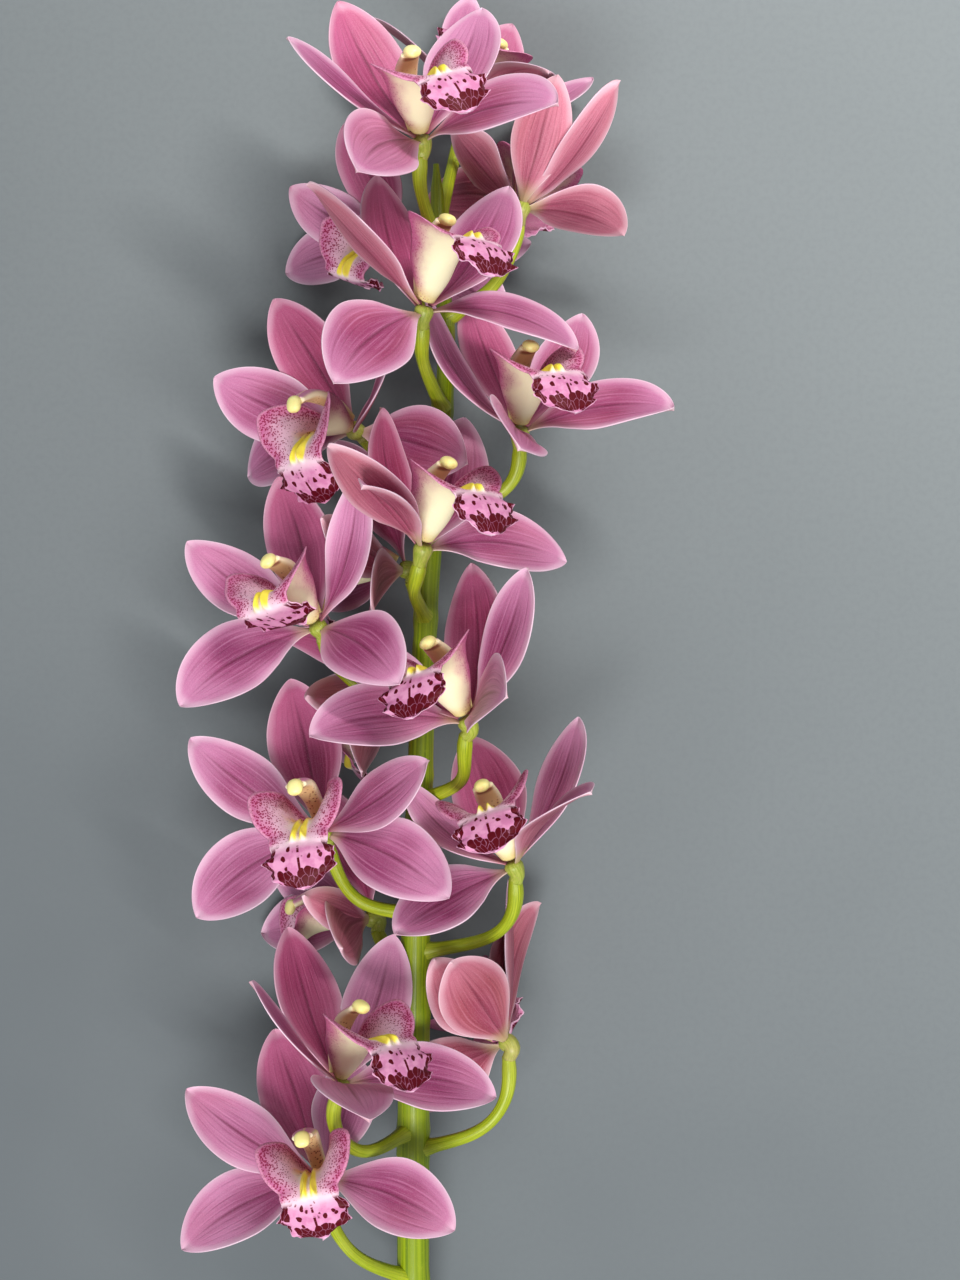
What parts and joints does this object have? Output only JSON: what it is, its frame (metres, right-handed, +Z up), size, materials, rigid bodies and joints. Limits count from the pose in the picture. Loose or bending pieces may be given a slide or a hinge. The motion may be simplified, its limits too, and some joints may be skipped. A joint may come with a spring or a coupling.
{
  "type": "cymbidium orchid stem",
  "caption": "Cut flower stem of a pink cymbidium orchid lying flat: arching green stem, curved flower stalks and open blooms with narrow pink tepals and spotted cream lips.",
  "frame": {"origin": "middle of the bounding box at its lowest level, on the surface the stem lies on", "axes": "+Y along the stem from its cut end towards its tip, +Z up from the surface it lies on, +X to the right of somebody who looks down on it with the tip away from them"},
  "size_m": [0.186, 0.6051, 0.1391],
  "materials": {
    "stem_green": "satin living stem, yellow-green",
    "petal_pink": "satin petal, pink with darker veins and a pale margin",
    "lip_cream": "satin lip, cream outside, pink with crimson spots inside",
    "column_cream": "waxy column, cream below and pink above, with a yellow cap"
  },
  "bodies": {
    "root": {"flower_stem": "stem_green", "bloom_01_tepals": "petal_pink", "bloom_01_lip": "lip_cream", "bloom_01_column": "column_cream", "bloom_02_tepals": "petal_pink", "bloom_02_lip": "lip_cream", "bloom_02_column": "column_cream", "bloom_03_tepals": "petal_pink", "bloom_03_lip": "lip_cream", "bloom_03_column": "column_cream", "bloom_04_tepals": "petal_pink", "bloom_04_lip": "lip_cream", "bloom_04_column": "column_cream", "bloom_05_tepals": "petal_pink", "bloom_05_lip": "lip_cream", "bloom_05_column": "column_cream", "bloom_06_tepals": "petal_pink", "bloom_06_lip": "lip_cream", "bloom_06_column": "column_cream", "bloom_07_tepals": "petal_pink", "bloom_07_lip": "lip_cream", "bloom_07_column": "column_cream", "bloom_08_tepals": "petal_pink", "bloom_08_lip": "lip_cream", "bloom_08_column": "column_cream", "bloom_09_tepals": "petal_pink", "bloom_09_lip": "lip_cream", "bloom_09_column": "column_cream", "bloom_10_tepals": "petal_pink", "bloom_10_lip": "lip_cream", "bloom_10_column": "column_cream", "bloom_11_tepals": "petal_pink", "bloom_11_lip": "lip_cream", "bloom_11_column": "column_cream", "bloom_12_tepals": "petal_pink", "bloom_12_lip": "lip_cream", "bloom_12_column": "column_cream", "bloom_13_tepals": "petal_pink", "bloom_13_lip": "lip_cream", "bloom_13_column": "column_cream", "bloom_14_tepals": "petal_pink", "bloom_14_lip": "lip_cream", "bloom_14_column": "column_cream", "bloom_15_tepals": "petal_pink", "bloom_15_lip": "lip_cream", "bloom_15_column": "column_cream", "bloom_16_tepals": "petal_pink", "bloom_16_lip": "lip_cream", "bloom_16_column": "column_cream", "bloom_17_tepals": "petal_pink", "bloom_17_lip": "lip_cream", "bloom_17_column": "column_cream", "bloom_18_tepals": "petal_pink", "bloom_18_lip": "lip_cream", "bloom_18_column": "column_cream"}
  },
  "joints": []
}
